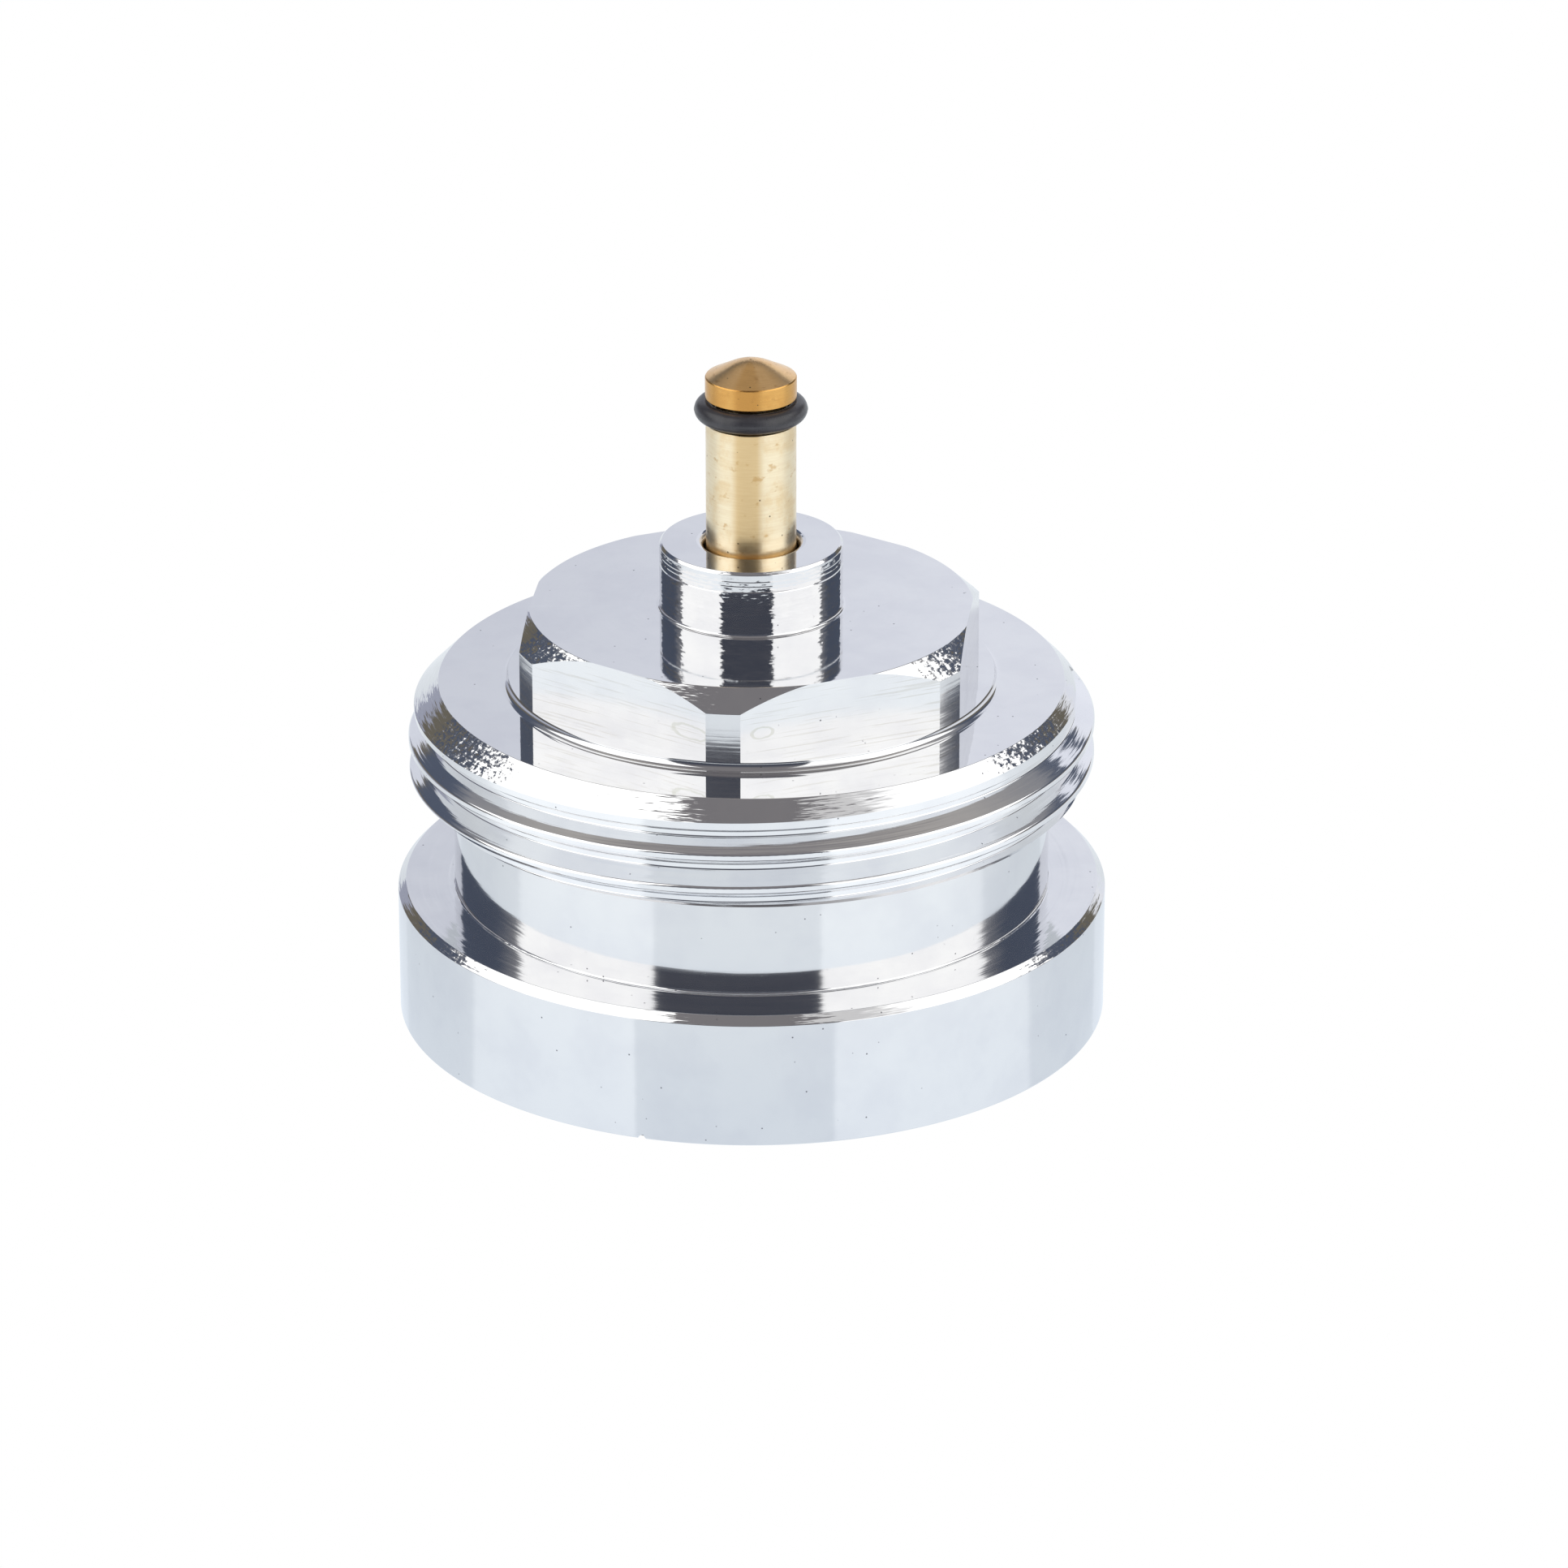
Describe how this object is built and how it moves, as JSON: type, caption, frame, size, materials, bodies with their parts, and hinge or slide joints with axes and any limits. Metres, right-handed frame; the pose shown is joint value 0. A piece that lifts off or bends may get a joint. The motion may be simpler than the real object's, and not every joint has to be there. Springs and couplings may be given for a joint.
{
  "type": "radiator valve adapter",
  "caption": "Chrome-plated brass adapter that joins a radiator valve to a thermostatic head: threaded base ring, threaded flange, hexagon, and a sliding brass push pin with an O-ring.",
  "frame": {"origin": "on the axis of the threads and the pin, at the underside of the base ring", "axes": "+Z along the pin, from the valve towards the thermostatic head; one corner of the hexagon points 6.3 degrees past -Y, towards -X"},
  "size_m": [0.031, 0.031, 0.0298],
  "materials": {
    "chrome_plating": "bright chrome plating over turned and milled brass, with fine circular tool marks",
    "seal_rubber": "black nitrile rubber, satin, with a faint mould seam",
    "pin_brass": "plain turned brass, with tool marks and light tarnish",
    "foot_brass": "plain turned brass, dull"
  },
  "bodies": {
    "adapter": {"adapter_body": "chrome_plating", "guide_o_ring": "seal_rubber"},
    "stop_ring": {"head_o_ring": "seal_rubber"},
    "pin": {"push_pin": "pin_brass", "pressure_foot": "foot_brass"}
  },
  "joints": [
    {"name": "pin_slide", "type": "slide", "parent": "adapter", "child": "stop_ring", "axis": [0, 0, 1], "range_m": [-0.00555, 0.00095]},
    {"name": "pin_turn", "type": "hinge", "parent": "stop_ring", "child": "pin", "pos_m": [0, 0, 0.0276], "axis": [0, 0, 1], "continuous": true}
  ]
}
